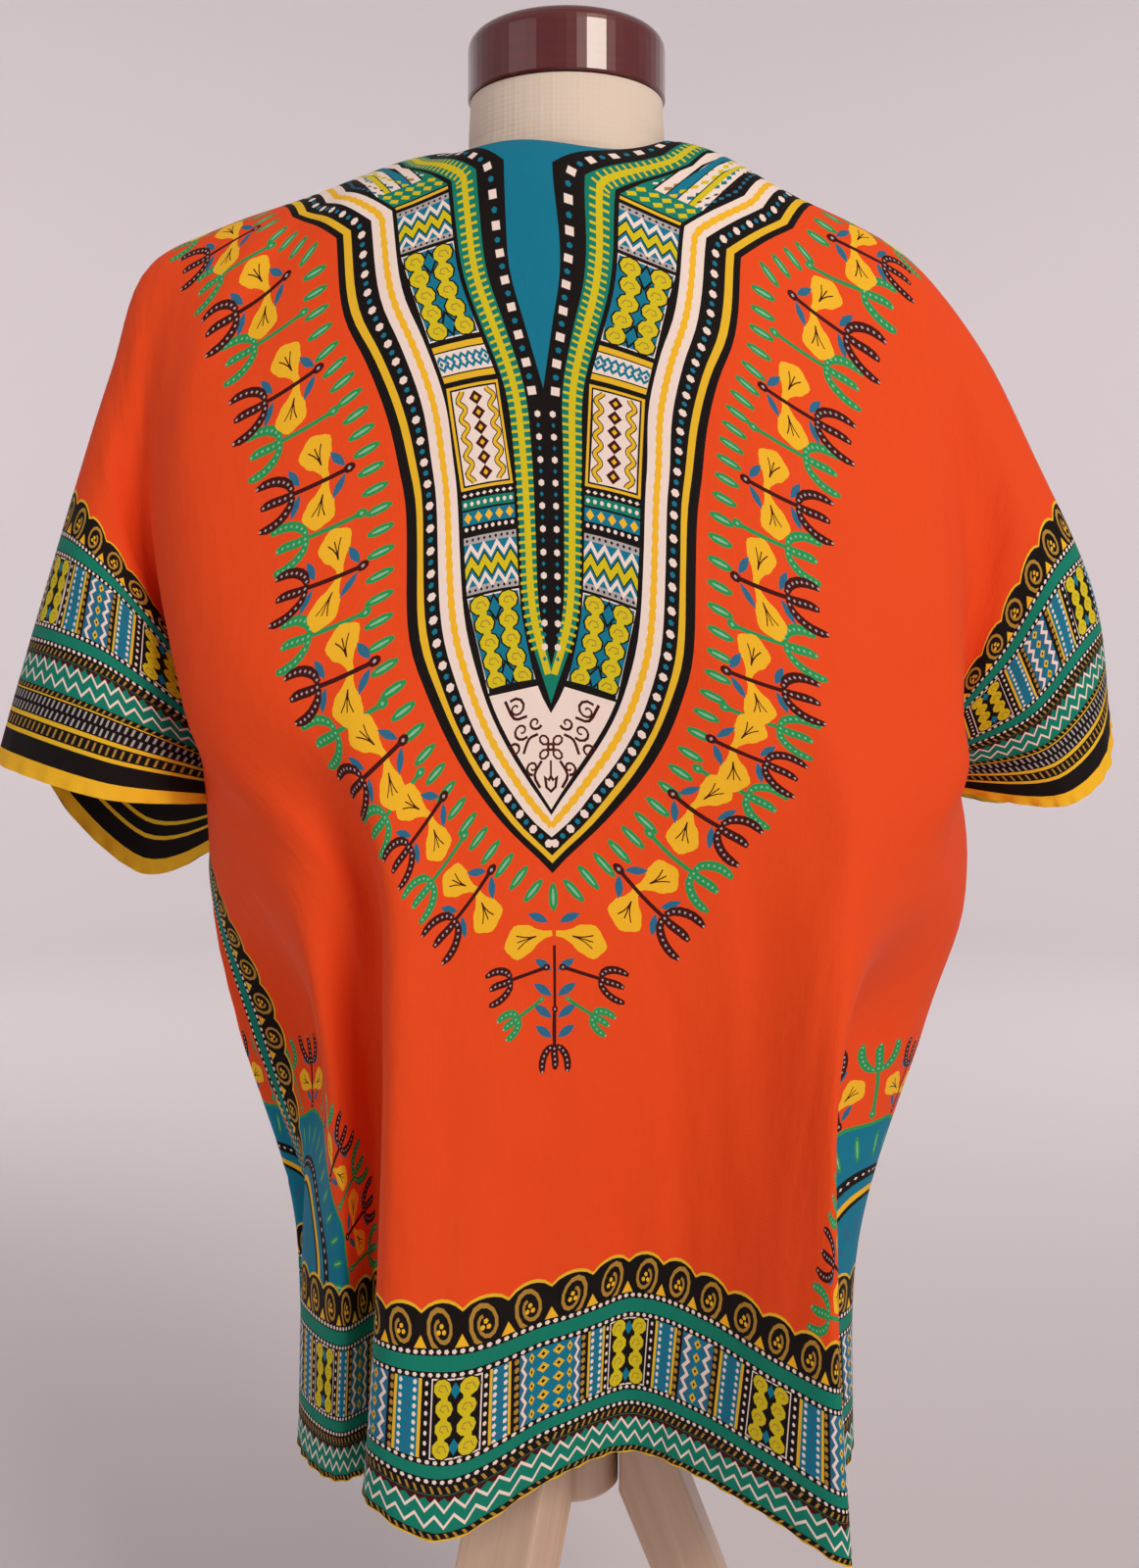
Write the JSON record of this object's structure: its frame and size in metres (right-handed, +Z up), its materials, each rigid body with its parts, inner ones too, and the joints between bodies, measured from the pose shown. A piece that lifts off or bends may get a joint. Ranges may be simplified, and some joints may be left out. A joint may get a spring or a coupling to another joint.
{
  "type": "dashiki shirt on a limbless dress form",
  "caption": "Wide hollow printed cotton shirt with short cut-in-one sleeves and a round neck, worn by a limbless padded dress form on a short splayed wooden stand.",
  "frame": {"origin": "on the floor, under the middle of the bounding box", "axes": "+Z up, +X to the right of someone looking at the shirt's back, +Y away from them, out of the shirt's front"},
  "size_m": [0.653, 0.332, 1.0781],
  "materials": {
    "printed_cotton": "matt plain-weave cotton, printed",
    "form_jersey": "cream jersey cover over padding",
    "cap_lacquer": "gloss dark red lacquer",
    "stand_birch": "clear satin varnish",
    "post_steel": "brushed"
  },
  "bodies": {
    "root": {"back_panel": "printed_cotton", "front_panel": "printed_cotton", "form_torso": "form_jersey", "form_cap": "cap_lacquer", "stand_pole": "post_steel", "stand_hub": "stand_birch", "stand_leg_1": "stand_birch", "stand_leg_2": "stand_birch", "stand_leg_3": "stand_birch"}
  },
  "joints": []
}
